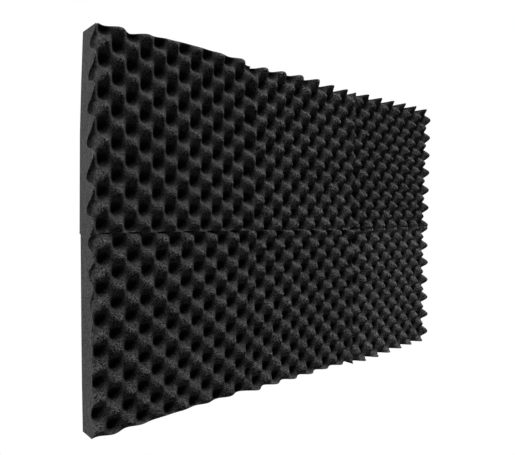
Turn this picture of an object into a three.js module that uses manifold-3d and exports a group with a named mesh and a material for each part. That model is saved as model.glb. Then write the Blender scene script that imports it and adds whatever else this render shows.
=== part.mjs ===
// Acoustic foam panel: six convoluted foam tiles, three across and two up, butted edge to edge and stuck to
// a wall with squares of double-sided foam tape. Millimetres. X runs right along the wall, Z up, and the
// foam stands out from the wall towards -Y. The origin is the middle of the panel, on the wall's face.
import * as THREE from 'three';
import Module from 'manifold-3d';

const wasm = await Module();
wasm.setup();

// The foam tile, cut square from a sheet that left its rollers with a face of peaks and pits.
const TILE = 304.8; // side of the square space that each tile takes
const THICKNESS = 50.8; // from the flat back to the top of a peak
const WEB = 25.4; // foam left between the flat back and the bottom of a pit
const PITCH = 48; // from one peak to the next along a row
const SEAM = 0.6; // opening left between two tiles pushed together

// The mounting tape: one square near each corner of a tile and one in its middle.
const PAD = 25; // side of a square of tape
const TAPE_THICKNESS = 1; // foam core with its two layers of adhesive
const PAD_MARGIN = 32; // from a tile's edge to the nearest edge of a corner square

// Past every face that it cuts, the cutting block or the sheet runs on by this much.
const OVERRUN = 10;

// Where each tile lies on the wall and where it was cut from its sheet. The rollers stretch and drag the foam
// a little, so each tile has its own pitch, across and up, as shares of PITCH. The shift shares say how far
// from the tile's middle its first peak lies, as shares of the tile's own pitch, across and up. The slants
// are how far, in degrees, its rows of peaks climb to the right and its columns lean to the right.
const TILES = [
  {
    place: 'bottom_left',
    column: 0,
    row: 0,
    pitch_shares: [1.019, 0.96],
    shift_shares: [0.19, -0.11],
    slants: [-0.1, 1.7],
  },
  {
    place: 'bottom_middle',
    column: 1,
    row: 0,
    pitch_shares: [1.027, 0.962],
    shift_shares: [-0.15, 0.02],
    slants: [0, 1.7],
  },
  {
    place: 'bottom_right',
    column: 2,
    row: 0,
    pitch_shares: [1.028, 0.965],
    shift_shares: [0.17, 0.17],
    slants: [0.9, -1.2],
  },
  {
    place: 'top_left',
    column: 0,
    row: 1,
    pitch_shares: [0.971, 1.013],
    shift_shares: [-0.41, 0.03],
    slants: [0.3, 0.5],
  },
  {
    place: 'top_middle',
    column: 1,
    row: 1,
    pitch_shares: [0.997, 1.021],
    shift_shares: [0.28, 0],
    slants: [1.4, 1.5],
  },
  {
    place: 'top_right',
    column: 2,
    row: 1,
    pitch_shares: [1.032, 0.971],
    shift_shares: [0.16, -0.2],
    slants: [0.5, 1.3],
  },
];
const COLUMNS = 1 + Math.max(...TILES.map((tile) => tile.column));
const ROWS = 1 + Math.max(...TILES.map((tile) => tile.row));

const foam = () => new THREE.MeshStandardMaterial({ color: 0x2b2c2d, roughness: 0.95, metalness: 0 });
const tape = () => new THREE.MeshStandardMaterial({ color: 0xd9d8d2, roughness: 0.7, metalness: 0 });

// The relief is the sum of two equal waves along the tile's diagonals. Its nodes stand at whole steps of
// both waves, a sixth of a wave each: at every peak, pit and saddle, and in a ring of four round each peak
// and pit.
const WAVE_STEPS = 6;
const HALF_WAVE = WAVE_STEPS / 2;
const wave = (step) => Math.cos((2 * Math.PI * step) / WAVE_STEPS);

// A node's place in the tile's frame, at step i of one diagonal wave and step j of the other.
function nodeOnFace(tile, i, j) {
  const [pitchAcross, pitchUp] = tile.pitch_shares.map((share) => share * PITCH);
  const [shiftAcross, shiftUp] = tile.shift_shares;
  const [climb, lean] = tile.slants.map((angle) => (angle * Math.PI) / 180);
  const across = ((i + j) / 2 / WAVE_STEPS + shiftAcross) * pitchAcross;
  const up = ((i - j) / 2 / WAVE_STEPS + shiftUp) * pitchUp;
  const x = across * Math.cos(climb) + up * Math.sin(lean);
  const z = across * Math.sin(climb) + up * Math.cos(lean);
  const level = (2 + wave(i) + wave(j)) / 4;
  return [x, -(WEB + (THICKNESS - WEB) * level), z];
}

// The facets of one repeat of the relief whose peak is at step (i, j), as lists of three nodes.
function repeatFacets(i, j) {
  const facets = [];
  const directions = [[1, 0], [0, 1], [-1, 0], [0, -1]];
  // Four facets that meet at a peak, pit or saddle and reach the same number of steps each way.
  const fan = (ci, cj, reach) => {
    directions.forEach(([di, dj], k) => {
      const [ei, ej] = directions[(k + 1) % directions.length];
      facets.push([[ci, cj], [ci + ei * reach, cj + ej * reach], [ci + di * reach, cj + dj * reach]]);
    });
  };
  fan(i, j, 1);
  fan(i + HALF_WAVE, j + HALF_WAVE, 1);
  fan(i + HALF_WAVE, j, HALF_WAVE - 1);
  fan(i, j + HALF_WAVE, HALF_WAVE - 1);
  // The four slopes that run down from the peak's ring to the rings of the pits round it.
  for (const [si, sj] of [[1, 1], [-1, 1], [-1, -1], [1, -1]]) {
    const slope = [
      [i + si, j],
      [i, j + sj],
      [i + si * (HALF_WAVE - 1), j + sj * HALF_WAVE],
      [i + si * HALF_WAVE, j + sj * (HALF_WAVE - 1)],
    ];
    if (si * sj < 0) slope.reverse();
    facets.push([slope[0], slope[1], slope[2]], [slope[0], slope[2], slope[3]]);
  }
  return facets;
}

// A closed piece of convoluted sheet, larger than the tile all round, with its face towards -Y.
function convolutedSheet(tile) {
  const points = [];
  const numbers = new Map();
  const number = ([i, j]) => {
    const key = `${i},${j}`;
    if (!numbers.has(key)) {
      numbers.set(key, points.length);
      points.push(nodeOnFace(tile, i, j));
    }
    return numbers.get(key);
  };
  const face = [];
  const reach = Math.ceil(TILE / PITCH) + 2;
  const margin = TILE / 2 + PITCH;
  for (let a = -reach; a <= reach; a += 1) {
    for (let b = -reach; b <= reach; b += 1) {
      const [x, , z] = nodeOnFace(tile, a * WAVE_STEPS, b * WAVE_STEPS);
      if (Math.abs(x) < margin && Math.abs(z) < margin) {
        face.push(...repeatFacets(a * WAVE_STEPS, b * WAVE_STEPS).map((facet) => facet.map(number)));
      }
    }
  }
  // The back is the same net laid flat behind the face, and walls join the two round the rim.
  const count = points.length;
  const back = points.map(([x, , z]) => [x, OVERRUN, z]);
  const used = new Set(face.flatMap(([a, b, c]) => [`${a},${b}`, `${b},${c}`, `${c},${a}`]));
  const faces = [...face, ...face.map(([a, b, c]) => [c + count, b + count, a + count])];
  for (const [a, b, c] of face) {
    for (const [from, to] of [[a, b], [b, c], [c, a]]) {
      if (!used.has(`${to},${from}`)) {
        faces.push([to, from, from + count], [to, from + count, to + count]);
      }
    }
  }
  return solid([...points, ...back].flat(), faces.flat());
}

function solid(vertices, triangles) {
  return new wasm.Manifold(
    new wasm.Mesh({
      numProp: 3,
      vertProperties: new Float32Array(vertices),
      triVerts: new Uint32Array(triangles),
    }),
  );
}

// A block with flat faces between two corners.
function block([x0, y0, z0], [x1, y1, z1]) {
  const corners = [x0, x1].flatMap((x) => [y0, y1].flatMap((y) => [z0, z1].map((z) => [x, y, z])));
  const sides = [
    [0, 1, 3, 2],
    [4, 6, 7, 5],
    [0, 4, 5, 1],
    [2, 3, 7, 6],
    [0, 2, 6, 4],
    [1, 5, 7, 3],
  ];
  return solid(corners.flat(), sides.flatMap(([a, b, c, d]) => [a, b, c, a, c, d]));
}

function geometryOf(manifold) {
  const mesh = manifold.getMesh();
  const geometry = new THREE.BufferGeometry();
  geometry.setAttribute('position', new THREE.BufferAttribute(mesh.vertProperties, mesh.numProp));
  geometry.setIndex(new THREE.BufferAttribute(mesh.triVerts, 1));
  geometry.computeVertexNormals();
  return geometry;
}

// One tile: the sheet inside the square that the knife cuts, down to the flat back at y = 0.
function foamTile(tile) {
  const half = (TILE - SEAM) / 2;
  const cut = block([-half, -THICKNESS - OVERRUN, -half], [half, 0, half]);
  const mesh = new THREE.Mesh(geometryOf(convolutedSheet(tile).intersect(cut)), foam());
  mesh.name = `foam_tile_${tile.place}`;
  return mesh;
}

// A square of tape behind the tile's back, with its middle at x, z in the tile's frame.
function tapePad(tile, spot, x, z) {
  const mesh = new THREE.Mesh(new THREE.BoxGeometry(PAD, TAPE_THICKNESS, PAD), tape());
  mesh.name = `tape_pad_${tile.place}_${spot}`;
  mesh.position.set(x, TAPE_THICKNESS / 2, z);
  return mesh;
}

const panel = new THREE.Group();
const cornerSpot = TILE / 2 - PAD_MARGIN - PAD / 2;
for (const tile of TILES) {
  const group = new THREE.Group();
  group.add(foamTile(tile));
  group.add(tapePad(tile, 'centre', 0, 0));
  group.add(tapePad(tile, 'low_left', -cornerSpot, -cornerSpot));
  group.add(tapePad(tile, 'low_right', cornerSpot, -cornerSpot));
  group.add(tapePad(tile, 'high_left', -cornerSpot, cornerSpot));
  group.add(tapePad(tile, 'high_right', cornerSpot, cornerSpot));
  group.position.set(
    (tile.column - (COLUMNS - 1) / 2) * TILE,
    -TAPE_THICKNESS,
    (tile.row - (ROWS - 1) / 2) * TILE,
  );
  panel.add(group);
}

export default panel;
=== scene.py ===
import math

import bpy
import numpy as np
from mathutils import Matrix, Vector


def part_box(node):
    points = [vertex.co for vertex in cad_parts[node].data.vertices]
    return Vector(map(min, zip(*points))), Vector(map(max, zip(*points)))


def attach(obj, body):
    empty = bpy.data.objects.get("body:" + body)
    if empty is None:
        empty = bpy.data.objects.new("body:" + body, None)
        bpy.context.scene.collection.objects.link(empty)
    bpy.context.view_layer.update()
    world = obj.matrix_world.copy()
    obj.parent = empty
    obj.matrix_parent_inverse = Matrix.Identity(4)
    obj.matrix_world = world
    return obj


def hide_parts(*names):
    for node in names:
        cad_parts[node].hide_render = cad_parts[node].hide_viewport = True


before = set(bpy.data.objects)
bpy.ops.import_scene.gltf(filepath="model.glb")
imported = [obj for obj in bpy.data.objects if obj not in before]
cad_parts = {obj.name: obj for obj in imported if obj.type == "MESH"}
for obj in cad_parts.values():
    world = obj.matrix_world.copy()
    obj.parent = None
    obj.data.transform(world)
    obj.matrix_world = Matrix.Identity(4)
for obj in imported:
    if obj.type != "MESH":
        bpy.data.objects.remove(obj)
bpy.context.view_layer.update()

# ---- Foam tiles -----------------------------------------------------------------------------------------
# Six squares of charcoal open-cell polyurethane foam, 12 in across and 2 in thick. A slab is squeezed
# between knobbed rollers and split, which leaves a face of peaks and pits, and each tile is cut square from
# that sheet with a knife. The tiles are pushed together edge to edge and stuck to the wall with tape.

MM = 1000  # millimetres in a metre
TILE = 0.3048  # side of the square space that each tile takes
THICKNESS = 0.0508  # from the flat back to the top of a peak
WEB = 0.0254  # from the flat back to the bottom of a pit
TAPE_THICKNESS = 0.001
SEAM = 0.00006  # opening between two tiles that are pushed together
CUT_ROUNDING = 0.0008  # radius of the edge that the knife leaves along the face
PULL_REACH = 0.012  # the knife's pull on the face falls off over this distance inside a cut
SETTLED_REACH = 0.004  # two faces settle level over this distance inside their seam
LIP_HIGHLIGHT_BREADTH = 0.0028  # breadth of the painted highlight along the lip that the knife leaves at a cut
WANDER = 0.0004  # how far the sheet's pattern sways and its peaks swell
SWAY_LENGTH = 0.11
SWELL_LENGTH = 0.07
GRID = 0.0017  # spacing of the face's mesh
RIM_SHARES = (0, 0.08, 0.25, 0.5, 1.0)  # the mesh's lines over the rounded edge, as shares of its radius
SIDE_SHARES = (0.03, 0.2, 0.4, 0.6, 0.8, 0.97, 1.0)  # the rows of a cut side, from the face to the back
FOAM_SHARP_ANGLE = 50

# Where each tile lies, how dark it is, how strongly its cells show, and how it was cut from its sheet, in
# millimetres and degrees. Peak is the middle of a peak from the middle of the tile, and pitch the distance
# between peaks across and up. Its rows climb and its columns lean to the right. Strays are how far beyond
# the square the knife ran at shares of each side's length, from left to right or from low to high. Drag is
# how far it pulled the face outward at both ends of a side. Draw is how far up the left side it pulled the
# pits and, more, the peaks. Flare is how far the pits and the peaks beside a cut stand out beyond it.
TILES = [
    {
        "place": "bottom_left", "column": 0, "row": 0, "seed": 20, "tone": 0.0615, "grain": 1.05,
        "peak": (9.3, -5), "pitch": (48.92, 46.09), "climb": -0.1, "lean": 1.7,
        "strays": {
            "left": [(0, -2.5), (0.25, -1), (0.5, 0), (1, 1.5)],
            "low": [(0, 4), (0.2, 2.2), (0.4, 0.6), (0.6, -0.9), (0.8, -1.4), (1, -2.7)],
            "high": [(0, -6.5), (0.03, -3.6), (1, -2.5)],
        },
        "drag": {"low": (-2.1, -2.1)}, "draw": (0, 0), "flare": {},
    },
    {
        "place": "bottom_middle", "column": 1, "row": 0, "seed": 27, "tone": 0.065, "grain": 1.25,
        "peak": (-7.4, 0.7), "pitch": (49.3, 46.19), "climb": 0, "lean": 1.7,
        "strays": {
            "low": [(0, 1.2), (0.25, 0.5), (0.5, 0.9), (0.75, 0.2), (1, 1.5)],
            "high": [(0, -3.5), (1, -5.5)],
        },
        "drag": {"low": (-1, -0.3)}, "draw": (0, 0), "flare": {},
    },
    {
        "place": "bottom_right", "column": 2, "row": 0, "seed": 34, "tone": 0.079, "grain": 1.45,
        "peak": (8.2, 8), "pitch": (49.32, 46.31), "climb": 0.9, "lean": -1.2,
        "strays": {
            "right": [(0, 5.5), (1, -2.5)],
            "low": [(0, 7), (0.33, 6), (0.67, 1.5), (1, -0.1)],
            "high": [(0, -0.8), (0.85, -0.2), (1, 0)],
        },
        "drag": {"low": (7, 3.5)}, "draw": (0, 0), "flare": {"right": (-2, 5)},
    },
    {
        "place": "top_left", "column": 0, "row": 1, "seed": 51, "tone": 0.064, "grain": 0.8,
        "peak": (-19.2, 1.2), "pitch": (46.59, 48.63), "climb": 0.3, "lean": 0.5,
        "strays": {
            "left": [(0, 3), (0.5, 2.8), (0.75, 1), (1, -1.5)],
            "low": [(0, 6.5), (0.03, 3.6), (1, 2.5)],
            "high": [
                (0, -7.8), (0.03, -2.2), (0.2, -3), (0.4, 2.4), (0.6, 3.8), (0.8, 2.9), (0.93, 2.4), (1, -3),
            ],
        },
        "drag": {"left": (-3.2, -3.2), "high": (-6.1, -2)}, "draw": (-2, 9.5), "flare": {},
    },
    {
        "place": "top_middle", "column": 1, "row": 1, "seed": 58, "tone": 0.066, "grain": 1.5,
        "peak": (13.2, 0.3), "pitch": (47.84, 49.01), "climb": 1.4, "lean": 1.5,
        "strays": {
            "low": [(0, 3.5), (1, 5.5)],
            "high": [(0, -4.9), (0.25, 0), (0.5, 2), (0.75, -4), (1, -1.8)],
        },
        "drag": {"high": (-4, 6.5)}, "draw": (0, 0), "flare": {"high": (-2.2, 2.3)},
    },
    {
        "place": "top_right", "column": 2, "row": 1, "seed": 65, "tone": 0.057, "grain": 1.7,
        "peak": (7.5, -9.3), "pitch": (49.54, 46.59), "climb": 0.5, "lean": 1.3,
        "strays": {
            "right": [(0, -2), (1, 3)],
            "low": [(0, 0.2), (0.85, -0.2), (1, 0)],
            "high": [(0, 0.3), (0.33, 0), (0.67, 3.5), (1, 3)],
        },
        "drag": {"high": (5.4, 0.4)}, "draw": (0, 0), "flare": {"right": (-0.5, 5.5), "high": (-3, 2)},
    },
]


def soft_waves(rng, count, length):
    """A smooth random field over the tile, within about one, whose bumps are about length across."""
    turns = rng.uniform(0, 2 * math.pi, count)
    phases = rng.uniform(0, 2 * math.pi, count)
    lengths = length * rng.uniform(0.7, 1.6, count)

    def field(x, z):
        total = 0
        for turn, phase, wave in zip(turns, phases, lengths):
            total = total + np.sin(2 * math.pi * (x * math.cos(turn) + z * math.sin(turn)) / wave + phase)
        return total / count ** 0.5

    return field


def left_of_pull(inside):
    """The share of the knife's pull at a cut that is left at a distance inside it."""
    return np.exp(-np.maximum(inside, 0) / PULL_REACH)


def relief(tile):
    """The height of a tile's face over its back, as a function of the place from the tile's middle."""
    rng = np.random.default_rng(tile["seed"])
    peak_x, peak_z = (value / MM for value in tile["peak"])
    half_across, half_up = (value / 2 / MM for value in tile["pitch"])
    climb, lean = math.radians(tile["climb"]), math.radians(tile["lean"])
    half_pitches = np.array([
        [half_across * math.cos(climb), half_up * math.sin(lean)],
        [half_across * math.sin(climb), half_up * math.cos(lean)],
    ])
    to_steps = np.linalg.inv(half_pitches)
    sway_x, sway_z = soft_waves(rng, 5, SWAY_LENGTH), soft_waves(rng, 5, SWAY_LENGTH)
    swell = soft_waves(rng, 6, SWELL_LENGTH)
    draw = tile["draw"][0] / MM

    def dragged(side, inside, along):
        """How far the knife dragged the face outward beside a cut, at a distance inside it."""
        start, end = tile["drag"].get(side, (0, 0))
        share = np.clip(along / TILE + 0.5, 0, 1)
        return (start + (end - start) * share) / MM * left_of_pull(inside)

    def height(x, z):
        dx = x - peak_x + WANDER * sway_x(x, z)
        dx = dx + dragged("left", TILE / 2 + x, z) - dragged("right", TILE / 2 - x, z)
        dz = z - peak_z + WANDER * sway_z(x, z)
        dz = dz + dragged("low", TILE / 2 + z, x) - dragged("high", TILE / 2 - z, x)
        dz = dz - draw * left_of_pull(TILE / 2 + x)
        i = to_steps[0, 0] * dx + to_steps[0, 1] * dz
        j = to_steps[1, 0] * dx + to_steps[1, 1] * dz
        level = 0.5 + 0.5 * np.cos(math.pi * i) * np.cos(math.pi * j)
        return WEB + (THICKNESS - WEB) * level + WANDER * swell(x, z) * level

    return height


reliefs = {(tile["column"], tile["row"]): relief(tile) for tile in TILES}


def settled(tile, x, z):
    """A tile's face, which beside an upright seam settles level with the tile that it is pushed against."""
    column, row = tile["column"], tile["row"]
    alone = reliefs[column, row](x, z)
    height = alone
    for side in (-1, 1):
        beyond = reliefs.get((column + side, row))
        if beyond:
            share = 0.5 * np.exp(-np.maximum(TILE / 2 - side * x, 0) / SETTLED_REACH)
            height = height + share * (beyond(x - side * TILE, z) - alone)
    return height


def placed(name, data):
    """A new object in the scene that shows some data."""
    made = bpy.data.objects.new(name, data)
    bpy.context.scene.collection.objects.link(made)
    return made


def shell(name, vertices, faces, sharp_angle):
    """A smooth object made of vertices and faces, with a crease wherever it turns by a sharp angle."""
    mesh = bpy.data.meshes.new(name)
    mesh.from_pydata(vertices.tolist(), [], faces)
    mesh.shade_smooth()
    mesh.set_sharp_from_angle(angle=math.radians(sharp_angle))
    return placed(name, mesh)


def foam_tile(tile):
    """One tile: its face of peaks and pits, its four cut sides and its flat back."""
    half = (TILE - SEAM) / 2
    rim = half - CUT_ROUNDING * np.array(RIM_SHARES)
    count = int(2 * rim[-1] / GRID)
    line = np.concatenate([-rim, np.linspace(-rim[-1], rim[-1], count + 1)[1:-1], rim[::-1]])
    n = len(line)
    u, v = np.meshgrid(line, line, indexing="ij")
    from_edge = np.minimum(half - np.abs(u), half - np.abs(v))
    over_edge = np.clip(CUT_ROUNDING - from_edge, 0, CUT_ROUNDING)
    rounding = CUT_ROUNDING - np.sqrt(CUT_ROUNDING**2 - over_edge**2)

    # The knife strayed a little along each side, so the square's sides move and the pits stay.
    right, high = (u + half) / (2 * half), (v + half) / (2 * half)

    def stray(side, along):
        shares, strays = zip(*tile["strays"].get(side, [(0, 0)]))
        return np.interp(along, shares, strays) / MM

    x = u + right * stray("right", high) - (1 - right) * stray("left", high)
    z = v + high * stray("high", right) - (1 - high) * stray("low", right)
    y = -(settled(tile, x, z) - rounding)

    # Beside an outer cut the face stands out beyond it, and the back keeps to the knife's path.
    knife_path = np.stack([x, z], -1).reshape(-1, 2)
    level = np.clip((-y - WEB) / (THICKNESS - WEB), 0, 1)
    drawn = tile["draw"][1] / MM * left_of_pull(u + half)
    z = z + drawn * level * high * (1 - high) * 4

    def flared(side, inside):
        pits, peaks = tile["flare"].get(side, (0, 0))
        return (pits + (peaks - pits) * level) / MM * left_of_pull(inside)

    x = x + flared("right", half - u)
    z = z + flared("high", half - v)
    face = np.stack([x, y, z], -1).reshape(-1, 3)
    number = np.arange(n * n).reshape(n, n)
    quads = np.stack([number[:-1, :-1], number[1:, :-1], number[1:, 1:], number[:-1, 1:]], -1)

    # The cut sides run from the rim down to the flat back in a few rows.
    ring = np.concatenate([number[:-1, 0], number[-1, :-1], number[:0:-1, -1], number[0, :0:-1]])
    top = face[ring]
    rows = [ring]
    points = [face]
    for step, share in enumerate(SIDE_SHARES):
        row = top.copy()
        row[:, 1] = top[:, 1] * (1 - share)
        row[:, [0, 2]] += share * (knife_path[ring] - top[:, [0, 2]])
        points.append(row)
        rows.append(n * n + step * len(ring) + np.arange(len(ring)))
    faces = quads.reshape(-1, 4).tolist()
    for upper, lower in zip(rows, rows[1:]):
        faces += np.stack([upper, lower, np.roll(lower, -1), np.roll(upper, -1)], -1).tolist()
    faces.append(rows[-1][::-1].tolist())
    middle = ((tile["column"] - 1) * TILE, -TAPE_THICKNESS, (tile["row"] - 0.5) * TILE)
    vertices = np.concatenate(points) + middle
    made = shell(f"foam_{tile['place']}", vertices, faces, FOAM_SHARP_ANGLE)

    # A painted highlight lightens the lip that the knife leaves along a cut, where its rounded edge catches
    # the light, except where two tiles settle together.
    from_cut = half - np.abs(v)
    if tile["column"] == 0:
        from_cut = np.minimum(from_cut, half + u)
    lip_highlight = np.zeros(len(vertices))
    lip_highlight[: n * n] = np.clip(1 - from_cut / LIP_HIGHLIGHT_BREADTH, 0, 1).ravel()
    made.data.attributes.new("lip_highlight", "FLOAT", "POINT").data.foreach_set("value", lip_highlight)
    return made


def material(name):
    """A new material, with its node tree and its shader."""
    made = bpy.data.materials.new(name)
    made.use_nodes = True
    return made, made.node_tree, made.node_tree.nodes["Principled BSDF"]


def fill(tree, node, inputs):
    """Sets a node's inputs to numbers or colours, or links them to the outputs of other nodes."""
    for name, value in inputs.items():
        if isinstance(value, bpy.types.NodeSocket):
            tree.links.new(value, node.inputs[name])
        else:
            node.inputs[name].default_value = value


def add(tree, kind, inputs, **settings):
    """A new node of a kind, with its settings and inputs."""
    node = tree.nodes.new(kind)
    for name, value in settings.items():
        setattr(node, name, value)
    fill(tree, node, inputs)
    return node


def ranged(tree, value, low, high, to_low=0.0, to_high=1.0):
    """A value's range from low to high, spread over to_low to to_high."""
    limits = {"From Min": low, "From Max": high, "To Min": to_low, "To Max": to_high}
    return add(tree, "ShaderNodeMapRange", {"Value": value, **limits}).outputs["Result"]


def factor(tree, mask, number):
    """One where a mask is nought, going over to a number where the mask is one."""
    return ranged(tree, mask, 0, 1, 1, number)


def combined(tree, operation, total, *others):
    """Values or numbers joined by Math nodes, from the first to the last."""
    for value in others:
        total = add(tree, "ShaderNodeMath", {0: total, 1: value}, operation=operation).outputs["Value"]
    return total


NOISE = (0.3, 0.7)  # nearly all of a noise texture's values lie in this range
CLUMPS_PER_CELL = 0.7  # the clumps' scale as a share of the cells' own
HOLLOW = (0.1, 0.6, -0.6, 0.15)  # from a cell's middle to its walls: two distances and how light it is there
CELL_SPREAD = 0.9  # how much lighter or darker a cell or a clump of cells can be
DARKEST_CELL = 0.1
DULL = 0.9  # share of the cells that get no painted glint
PAINTED_GLINT_SIZE = (0.15, 0.4)  # a painted glint is whole and has gone at these distances from a cell's middle


def open_cells():
    """Foam's cells: how light each looks, how high its walls stand, and the few that get a painted glint."""
    group = bpy.data.node_groups.new("open cells", "ShaderNodeTree")
    group.interface.new_socket("Place", in_out="INPUT", socket_type="NodeSocketVector")
    for name in ("Cells per metre", "Contrast"):
        group.interface.new_socket(name, in_out="INPUT", socket_type="NodeSocketFloat")
    for name in ("Lightness", "Walls", "Painted glints"):
        group.interface.new_socket(name, in_out="OUTPUT", socket_type="NodeSocketFloat")
    given = group.nodes.new("NodeGroupInput").outputs

    cells = add(group, "ShaderNodeTexVoronoi", {"Vector": given["Place"], "Scale": given["Cells per metre"]})
    from_middle = cells.outputs["Distance"]
    shade = add(group, "ShaderNodeSeparateColor", {"Color": cells.outputs["Color"]})
    clump_scale = combined(group, "MULTIPLY", given["Cells per metre"], CLUMPS_PER_CELL)
    clumps = add(
        group, "ShaderNodeTexNoise", {"Vector": given["Place"], "Scale": clump_scale, "Detail": 2}
    )

    # A cell looks dark in its middle and light along its walls, and each catches the light its own way.
    hollow = ranged(group, from_middle, *HOLLOW)
    own = ranged(group, shade.outputs["Red"], 0, 1, -CELL_SPREAD, CELL_SPREAD)
    clump = ranged(group, clumps.outputs["Fac"], *NOISE, -CELL_SPREAD, CELL_SPREAD)
    spread = combined(group, "MULTIPLY", combined(group, "ADD", hollow, own, clump), given["Contrast"])
    lightness = combined(group, "MAXIMUM", combined(group, "ADD", spread, 1), DARKEST_CELL)
    # A few cells get a painted glint: colour made bright at their middles, standing in for highlights on
    # their walls.
    painted_glint = combined(group, "GREATER_THAN", shade.outputs["Green"], DULL)
    near = ranged(group, from_middle, *PAINTED_GLINT_SIZE, 1, 0)
    painted_glints = combined(group, "MULTIPLY", painted_glint, near)
    add(group, "NodeGroupOutput", {"Lightness": lightness, "Walls": from_middle, "Painted glints": painted_glints})
    return group


cell_group = open_cells()

FOAM_CELLS_PER_METRE = 620
STRAIGHT = (0.9, 0.97)  # how squarely a side faces along an axis where it counts as a cut
KNUCKLE = (-0.0395, -0.05)  # a peak's rounded top begins and is whole at these places on Y
PAINTED_PIT_SHADE = (-0.0378, -0.0328)  # painted shade in a pit begins and is darkest at these places on Y
KNUCKLE_LIGHTNESS = 0.88
# how light the foam stays under the darkest painted shade in a pit
PIT_SHADE_LIGHTNESS = 0.33
CUT_LIGHTNESS = 1.12
PAINTED_LIP_HIGHLIGHT = 1.55
PAINTED_GLINT_LIGHTNESS = 1.8
SLOPE_CONTRAST = 0.6
KNUCKLE_CONTRAST = 1.3
CUT_CONTRAST = 0.7
STREAKS = (60, 900, 60)  # streaks per metre along each axis
STREAK_STRENGTH = 0.22
DYE_RANGE = (0.9, 1.1)


def charcoal_foam(place_name, tone, grain):
    """Charcoal foam, whose knuckles show the cells most, and whose knife-cut sides are finer and smoother."""
    made, tree, shader = material(f"charcoal foam {place_name}")
    given = tree.nodes.new("ShaderNodeTexCoord").outputs
    place = given["Object"]

    # The cut sides and the back face straight along an axis, which no slope of the relief does.
    facing = add(tree, "ShaderNodeSeparateXYZ", {"Vector": given["Normal"]}).outputs
    sideways, upright = (
        add(tree, "ShaderNodeMath", {0: facing[axis]}, operation="ABSOLUTE").outputs["Value"]
        for axis in ("X", "Z")
    )
    cut = ranged(tree, combined(tree, "MAXIMUM", sideways, upright, facing["Y"]), *STRAIGHT)
    height = add(tree, "ShaderNodeSeparateXYZ", {"Vector": place}).outputs["Y"]
    knuckle = ranged(tree, height, *KNUCKLE)
    # Painted shade darkens the pits, standing in for the shade that falls deep in the relief; the cut sides
    # get none.
    pit_shade = combined(tree, "SUBTRACT", ranged(tree, height, *PAINTED_PIT_SHADE), cut)
    contrast = ranged(tree, knuckle, 0, 1, SLOPE_CONTRAST * grain, KNUCKLE_CONTRAST * grain)
    smoother = factor(tree, cut, CUT_CONTRAST)
    cell_inputs = {
        "Place": place,
        "Cells per metre": FOAM_CELLS_PER_METRE,
        "Contrast": combined(tree, "MULTIPLY", contrast, smoother),
    }
    cells = add(tree, "ShaderNodeGroup", cell_inputs, node_tree=cell_group)

    # The blade leaves faint streaks along a cut, and the dye is a little uneven.
    streak_place = add(tree, "ShaderNodeVectorMath", {0: place, 1: STREAKS}, operation="MULTIPLY")
    streaks = add(tree, "ShaderNodeTexNoise", {"Vector": streak_place.outputs["Vector"], "Scale": 1})
    streak = ranged(tree, streaks.outputs["Fac"], *NOISE, -STREAK_STRENGTH, STREAK_STRENGTH)
    dye = add(tree, "ShaderNodeTexNoise", {"Vector": place, "Scale": 11})
    # The painted highlight along a cut's lip is read from the mesh and made lighter in colour.
    lip_highlight = add(tree, "ShaderNodeAttribute", {}, attribute_name="lip_highlight")
    lightness = combined(
        tree,
        "MULTIPLY",
        combined(tree, "ADD", cells.outputs["Lightness"], combined(tree, "MULTIPLY", streak, cut)),
        ranged(tree, dye.outputs["Fac"], *NOISE, *DYE_RANGE),
        factor(tree, pit_shade, PIT_SHADE_LIGHTNESS),
        factor(tree, knuckle, KNUCKLE_LIGHTNESS),
        factor(tree, cut, CUT_LIGHTNESS),
        factor(tree, lip_highlight.outputs["Fac"], PAINTED_LIP_HIGHLIGHT),
    )
    # The painted glints are added to the colour on the knuckles only.
    painted_glints = combined(tree, "MULTIPLY", cells.outputs["Painted glints"], knuckle, PAINTED_GLINT_LIGHTNESS)
    lightness = combined(tree, "ADD", lightness, painted_glints)
    colour = add(
        tree, "ShaderNodeVectorMath", {0: (tone, tone, tone), "Scale": lightness}, operation="SCALE"
    )
    walls = combined(tree, "MULTIPLY", cells.outputs["Walls"], smoother)
    bump = add(tree, "ShaderNodeBump", {"Height": walls, "Strength": 0.7, "Distance": 0.0007})
    surface = {
        "Base Color": colour.outputs["Vector"],
        "Normal": bump.outputs["Normal"],
        "Roughness": 0.95,
        "Specular IOR Level": 0.02,
    }
    fill(tree, shader, surface)
    return made


for tile in TILES:
    piece = foam_tile(tile)
    piece.data.materials.append(charcoal_foam(tile["place"].replace("_", " "), tile["tone"], tile["grain"]))
    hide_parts(f"foam_tile_{tile['place']}")
    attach(piece, "root")

# ---- Tape pads ------------------------------------------------------------------------------------------
# Thirty squares of off-white double-sided tape hold the panel to the wall, five behind each tile. Each is
# 1 mm of closed-cell foam between two thin adhesive films, cut by hand from a roll.

PAD_FILM = 0.00009  # thickness of the film on each face
PAD_CORNER = 0.0009  # radius of the outline's corners
PAD_TURN = 1.0  # usual error of a pad's turn, in degrees
PAD_SKEW = 0.00025  # usual error at the end of a side
PAD_WAVER = 0.00008  # how far the scissors waver along a side
PAD_WAVER_RATE = 900  # radians per metre
SIDE_STEPS = 15
CORNER_STEPS = 6
FACE_SCALE = 0.9996  # the outline's scale where a face meets its film's edge
CORE_SCALE = 0.992  # the same for the core, which stands in behind the films
CORE_SQUEEZE = 0.006  # how much more the core stands in at its middle
PAD_SHARP_ANGLE = 35
TAPE_CELLS_PER_METRE = 2600


def turned(outline, angle):
    """An outline turned about its middle."""
    return outline @ np.array([[math.cos(angle), math.sin(angle)], [-math.sin(angle), math.cos(angle)]])


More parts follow.
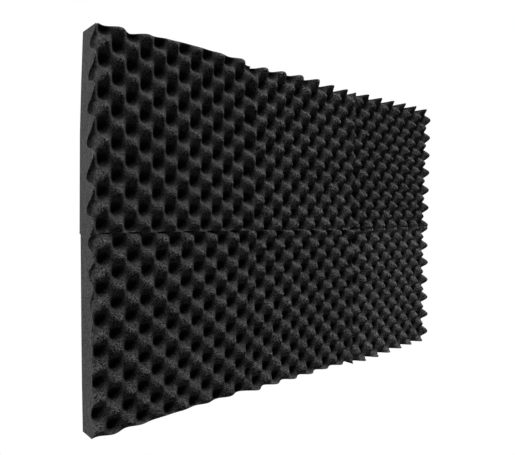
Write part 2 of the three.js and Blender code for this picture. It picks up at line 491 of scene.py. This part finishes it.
def tape_pad(name, rng):
    """One square of tape, in the box of its node."""
    low, high = (np.array(corner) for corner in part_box(name))
    middle, half = (low + high) / 2, (high[0] - low[0]) / 2

    # The outline has small round corners and sides that waver as scissors do.
    turn = math.radians(rng.normal(0, PAD_TURN))
    skew = rng.normal(0, PAD_SKEW, 4)
    straight = half - PAD_CORNER
    along = np.linspace(-straight, straight, SIDE_STEPS)
    arc = np.linspace(0, math.pi / 2, CORNER_STEPS)[1:-1]
    sides = []
    for quarter in range(4):
        waver = skew[quarter] * (along / half) + PAD_WAVER * np.sin(along * PAD_WAVER_RATE + quarter)
        x = np.concatenate([half + waver, straight + PAD_CORNER * np.cos(arc)])
        z = np.concatenate([along, straight + PAD_CORNER * np.sin(arc)])
        sides.append(turned(np.stack([x, z], -1), quarter * math.pi / 2))
    outline = turned(np.concatenate(sides), turn)

    # Films lie at both faces, and the core between them is squeezed in a little at its middle.
    depth = high[1] - low[1]
    film = [(0, FACE_SCALE), (0.15 * PAD_FILM, 1), (PAD_FILM, 1), (PAD_FILM * 1.05, CORE_SCALE)]
    core = [
        (depth * share, CORE_SCALE - CORE_SQUEEZE * math.sin(math.pi * share)) for share in (0.3, 0.5, 0.7)
    ]
    profile = film + core + [(depth - back, scale) for back, scale in reversed(film)]
    count = len(outline)
    rings = np.empty((len(profile), count, 3))
    for ring, (back, scale) in zip(rings, profile):
        ring[:, 0] = middle[0] + outline[:, 0] * scale
        ring[:, 1] = high[1] - back
        ring[:, 2] = middle[2] + outline[:, 1] * scale
    number = np.arange(len(profile) * count).reshape(-1, count)
    faces = []
    for upper, lower in zip(number, number[1:]):
        faces += np.stack([upper, lower, np.roll(lower, -1), np.roll(upper, -1)], -1).tolist()
    faces += [number[0].tolist(), number[-1][::-1].tolist()]
    return shell(name.replace("tape_pad", "tape"), rings.reshape(-1, 3), faces, PAD_SHARP_ANGLE)


tape, tree, shader = material("double-sided tape")
place = tree.nodes.new("ShaderNodeTexCoord").outputs["Object"]
cell_inputs = {"Place": place, "Cells per metre": TAPE_CELLS_PER_METRE, "Contrast": 0.07}
cells = add(tree, "ShaderNodeGroup", cell_inputs, node_tree=cell_group)
smears = add(tree, "ShaderNodeTexNoise", {"Vector": place, "Scale": 160, "Detail": 4}).outputs["Fac"]
smeared = ranged(tree, smears, 0.35, 0.7)
glue_colours = {"A": (0.74, 0.73, 0.69, 1), "B": (0.66, 0.64, 0.56, 1)}
glue = add(tree, "ShaderNodeMix", {"Factor": smeared, **glue_colours}, data_type="RGBA").outputs["Result"]
colour = add(
    tree, "ShaderNodeVectorMath", {0: glue, "Scale": cells.outputs["Lightness"]}, operation="SCALE"
)
bump = add(tree, "ShaderNodeBump", {"Height": smears, "Strength": 0.35, "Distance": 0.00015})
surface = {
    "Base Color": colour.outputs["Vector"],
    "Roughness": ranged(tree, smears, *NOISE, 0.38, 0.62),
    "Normal": bump.outputs["Normal"],
}
fill(tree, shader, surface)

pad_rng = np.random.default_rng(5)
for name in sorted(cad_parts):
    if name.startswith("tape_pad"):
        piece = tape_pad(name, pad_rng)
        piece.data.materials.append(tape)
        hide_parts(name)
        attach(piece, "root")

# ---- Camera, lights, floor and background ---------------------------------------------------------------
# The middle of the panel is 1.3 m above a pale floor in a white room, and the camera stands at its left end.
# Three soft lamps high up, in front and to the right graze the relief. A weak one lights it from the left,
# and two behind its plane light the cut ends and the back.

camera = placed("camera", bpy.data.cameras.new("camera"))
camera.location = (-0.74177, -0.72979, 0.02275)
camera.rotation_euler = [math.radians(angle) for angle in (88.7019, -0.5811, -41.2072)]
camera.data.sensor_width = 36
camera.data.lens = 34.0184
bpy.context.scene.camera = camera

LAMP_DISTANCE = 3.0  # from the middle of the panel
# Each lamp's name, the direction in which it stands, its side, and its level. At level 1 a surface that
# faces the lamp renders in its own colour.
LAMPS = [
    ("high lamp", (0, -0.26, 0.97), 0.5, 0.33),
    ("high front lamp", (0, -0.57, 0.82), 0.5, 0.47),
    ("high right lamp", (0.68, -0.26, 0.68), 0.5, 0.44),
    ("left lamp", (-0.97, -0.26, 0), 1.2, 0.06),
    ("left back lamp", (-0.95, 0.3, 0.1), 0.8, 0.7),
    ("back lamp", (0.3, 0.9, 0.3), 1.2, 0.5),
]
for name, direction, side, level in LAMPS:
    square = bpy.data.lights.new(name, "AREA")
    square.size = side
    square.energy = level * (math.pi * LAMP_DISTANCE) ** 2
    length = math.sqrt(sum(value * value for value in direction))
    x, y, z = (value / length for value in direction)
    lamp = placed(name, square)
    lamp.location = (x * LAMP_DISTANCE, y * LAMP_DISTANCE, z * LAMP_DISTANCE)
    lamp.rotation_euler = (math.acos(z), 0, math.atan2(x, -y))


def white_rays(tree):
    """One for rays from the camera, off a mirror or through something clear, and none for lighting."""
    rays = tree.nodes.new("ShaderNodeLightPath").outputs
    kinds = [rays[f"Is {kind} Ray"] for kind in ("Camera", "Glossy", "Transmission")]
    return combined(tree, "MAXIMUM", *kinds)


FLOOR_DROP = 1.3  # from the middle of the panel to the floor
FLOOR_REACH = 6
FLOOR_FADE = (1.5, 2.1)  # the floor goes over into the white background between these distances
NEAR_WHITE = 0.6  # how much of that white the floor has close to the panel

floor_mesh = bpy.data.meshes.new("floor")
corners = [(x * FLOOR_REACH, y * FLOOR_REACH, -FLOOR_DROP) for x, y in ((-1, -1), (1, -1), (1, 1), (-1, 1))]
floor_mesh.from_pydata(corners, [], [(0, 1, 2, 3)])
floor = placed("floor", floor_mesh)
pale, tree, shader = material("pale floor")
rays = white_rays(tree)
# It throws little light up at the foam, and looks pale to the camera.
tints = {"A": (0.08, 0.08, 0.08, 1), "B": (0.7, 0.7, 0.7, 1)}
tint = add(tree, "ShaderNodeMix", {"Factor": rays, **tints}, data_type="RGBA")
fill(tree, shader, {"Base Color": tint.outputs["Result"], "Roughness": 0.9})
place = tree.nodes.new("ShaderNodeTexCoord").outputs["Object"]
far = add(tree, "ShaderNodeVectorMath", {0: place}, operation="LENGTH").outputs["Value"]
near, beyond = FLOOR_FADE
fade_range = {"Value": far, "From Min": near, "From Max": beyond, "To Min": NEAR_WHITE}
fade = add(tree, "ShaderNodeMapRange", fade_range, interpolation_type="SMOOTHSTEP")
white = add(tree, "ShaderNodeEmission", {"Strength": 1})
whiteness = combined(tree, "MULTIPLY", fade.outputs["Result"], rays)
either = add(
    tree,
    "ShaderNodeMixShader",
    {"Fac": whiteness, 1: shader.outputs["BSDF"], 2: white.outputs["Emission"]},
)
fill(tree, tree.nodes["Material Output"], {"Surface": either.outputs["Shader"]})
floor.data.materials.append(pale)

world = bpy.data.worlds.new("pale room")
world.use_nodes = True
bpy.context.scene.world = world
tree = world.node_tree
tree.nodes.clear()
seen = add(tree, "ShaderNodeBackground", {"Color": (1, 1, 1, 1)}).outputs["Background"]
filling = add(tree, "ShaderNodeBackground", {"Color": (0.003, 0.003, 0.003, 1)}).outputs["Background"]
either = add(tree, "ShaderNodeMixShader", {"Fac": white_rays(tree), 1: filling, 2: seen})
add(tree, "ShaderNodeOutputWorld", {"Surface": either.outputs["Shader"]})

bpy.context.scene.view_settings.view_transform = "Standard"
